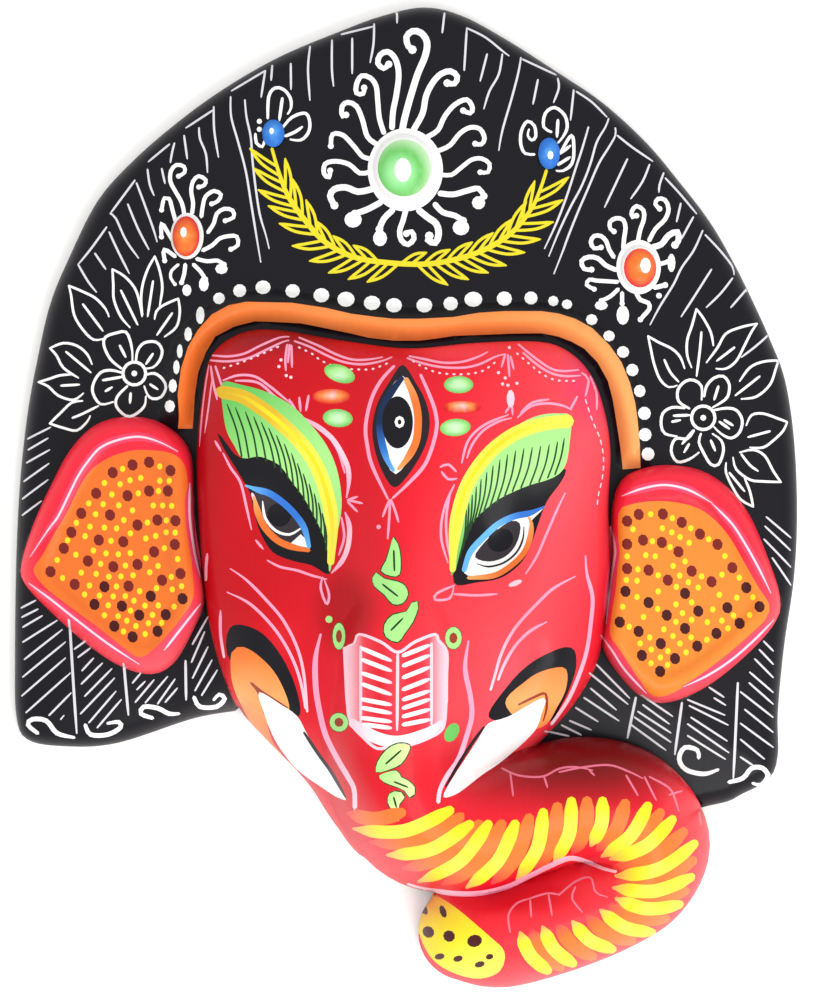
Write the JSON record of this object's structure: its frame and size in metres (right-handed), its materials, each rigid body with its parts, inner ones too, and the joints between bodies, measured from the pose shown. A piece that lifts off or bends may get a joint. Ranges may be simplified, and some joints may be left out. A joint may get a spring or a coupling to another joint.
{
  "type": "ganesha mask",
  "caption": "Hollow painted papier-mache wall mask of an elephant-headed figure with a fan-shaped crown, ears, tusks and a curled trunk.",
  "frame": {"origin": "middle of the mask's outline, on the plane that its rim rests on", "axes": "+Y up the face from the trunk to the crown's point, +Z out of the face, +X to the viewer's right"},
  "size_m": [0.236, 0.2956, 0.0644],
  "materials": {
    "painted_papier_mache": "papier-mache painted red, black and orange with fine white, yellow and green brushwork under a thin varnish; bare grey-brown paper inside"
  },
  "bodies": {
    "root": {"mask": "painted_papier_mache"}
  },
  "joints": []
}
